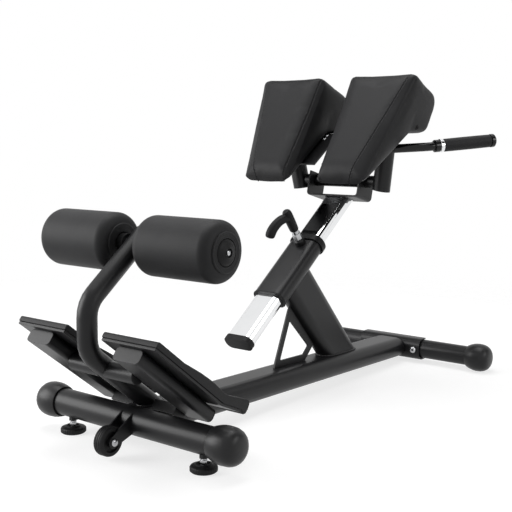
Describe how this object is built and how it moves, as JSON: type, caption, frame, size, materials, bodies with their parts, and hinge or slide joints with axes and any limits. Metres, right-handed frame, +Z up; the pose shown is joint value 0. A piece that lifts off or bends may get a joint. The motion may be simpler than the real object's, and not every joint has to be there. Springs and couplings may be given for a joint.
{
  "type": "hyperextension bench",
  "caption": "Inclined back extension bench with a sliding hip-pad carriage on an oval post, ankle rollers, angled foot plates and splayed hand grips.",
  "frame": {"origin": "middle of the footprint, on the floor", "axes": "+X from the foot plates towards the hip pads, +Y to the left of a user who faces +X, +Z up"},
  "size_m": [1.3666, 0.7672, 0.8702],
  "materials": {
    "powder_coat": "satin graphite powder coat",
    "gloss_coat": "gloss black",
    "chrome": "polished",
    "zinc": "bright zinc plate",
    "black_plastic": "moulded",
    "cap_rubber": "smooth moulded",
    "tread_rubber": "matt",
    "leatherette": "fine grained",
    "foam": "skinned foam"
  },
  "bodies": {
    "base_frame": {"front_cross_tube": "powder_coat", "front_end_cap_left": "cap_rubber", "front_end_cap_right": "cap_rubber", "rear_cross_tube": "powder_coat", "rear_end_cap_left": "cap_rubber", "rear_end_cap_right": "cap_rubber", "wheel_fork_left": "powder_coat", "wheel_fork_right": "powder_coat", "wheel_bolt": "zinc", "main_beam": "powder_coat", "rear_saddle": "powder_coat", "upright_column": "powder_coat", "gusset_plate": "powder_coat", "guide_sleeve": "powder_coat", "sleeve_bush_lower": "black_plastic", "sleeve_bush_upper": "black_plastic", "clamp_boss": "powder_coat", "roller_arm": "powder_coat", "roller_axle": "zinc", "foot_plate_left": "powder_coat", "foot_plate_right": "powder_coat", "foot_mat_left": "tread_rubber", "foot_mat_right": "tread_rubber", "footrest_channel_left": "powder_coat", "footrest_channel_right": "powder_coat", "channel_end_plug_left": "black_plastic", "channel_end_plug_right": "black_plastic", "upper_cross_stub_left": "powder_coat", "upper_cross_stub_right": "powder_coat", "lower_cross_stub_left": "powder_coat", "lower_cross_stub_right": "powder_coat"},
    "levelling_pad_left": {"foot_pad_left": "tread_rubber"},
    "levelling_pad_right": {"foot_pad_right": "tread_rubber"},
    "levelling_screw_left": {"foot_stem_left": "zinc"},
    "levelling_screw_right": {"foot_stem_right": "zinc"},
    "wheel": {"transport_wheel": "tread_rubber"},
    "ankle_roller_left": {"roller_left": "foam", "roller_hub_left": "black_plastic"},
    "ankle_roller_right": {"roller_right": "foam", "roller_hub_right": "black_plastic"},
    "hip_carriage": {"inner_post": "chrome", "post_end_cap": "black_plastic", "carriage_bracket": "powder_coat", "carriage_crossbar": "powder_coat", "pad_post_left": "powder_coat", "pad_post_right": "powder_coat", "pad_plate_left": "powder_coat", "pad_plate_right": "powder_coat", "hip_pad_left": "leatherette", "hip_pad_right": "leatherette", "handle_bar_left": "gloss_coat", "handle_bar_right": "gloss_coat", "grip_collar_left": "chrome", "grip_collar_right": "chrome", "handle_grip_left": "foam", "handle_grip_right": "foam"},
    "pressure_pad": {"clamp_pad": "black_plastic"},
    "clamp_lever": {"clamp_screw": "zinc", "clamp_handle": "black_plastic"}
  },
  "joints": [
    {"name": "foot_height_left", "type": "slide", "parent": "base_frame", "child": "levelling_pad_left", "axis": [0, 0, -1], "range_m": [0, 0.01]},
    {"name": "foot_height_right", "type": "slide", "parent": "base_frame", "child": "levelling_pad_right", "axis": [0, 0, -1], "range_m": [0, 0.01]},
    {"name": "foot_screw_left", "type": "hinge", "parent": "levelling_pad_left", "child": "levelling_screw_left", "pos_m": [-0.52571, 0.2054, 0.03], "axis": [0, 0, -1], "range_deg": [0, 2401]},
    {"name": "foot_screw_right", "type": "hinge", "parent": "levelling_pad_right", "child": "levelling_screw_right", "pos_m": [-0.52571, -0.2054, 0.03], "axis": [0, 0, -1], "range_deg": [0, 2401]},
    {"name": "wheel_spin", "type": "hinge", "parent": "base_frame", "child": "wheel", "pos_m": [-0.60441, 0, 0.0421], "axis": [0, 1, 0], "continuous": true},
    {"name": "roller_spin_left", "type": "hinge", "parent": "base_frame", "child": "ankle_roller_left", "pos_m": [-0.51541, 0.15, 0.4635], "axis": [0, 1, 0], "continuous": true},
    {"name": "roller_spin_right", "type": "hinge", "parent": "base_frame", "child": "ankle_roller_right", "pos_m": [-0.51541, -0.15, 0.4635], "axis": [0, 1, 0], "continuous": true},
    {"name": "carriage_slide", "type": "slide", "parent": "base_frame", "child": "hip_carriage", "axis": [0.7965, 0, 0.6046], "range_m": [-0.08, 0.12]},
    {"name": "clamp_lift", "type": "slide", "parent": "base_frame", "child": "pressure_pad", "axis": [-0.6046, 0, 0.7965], "range_m": [0, 0.00058333]},
    {"name": "clamp_turn", "type": "hinge", "parent": "pressure_pad", "child": "clamp_lever", "pos_m": [0.12142, 0, 0.39405], "axis": [-0.6046, 0, 0.7965], "range_deg": [0, 121]}
  ],
  "couplings": [
    {"joint": "foot_screw_left", "follows": "foot_height_left", "rad_per_m": 4188.8},
    {"joint": "foot_screw_right", "follows": "foot_height_right", "rad_per_m": 4188.8},
    {"joint": "clamp_turn", "follows": "clamp_lift", "rad_per_m": 3590.4}
  ]
}
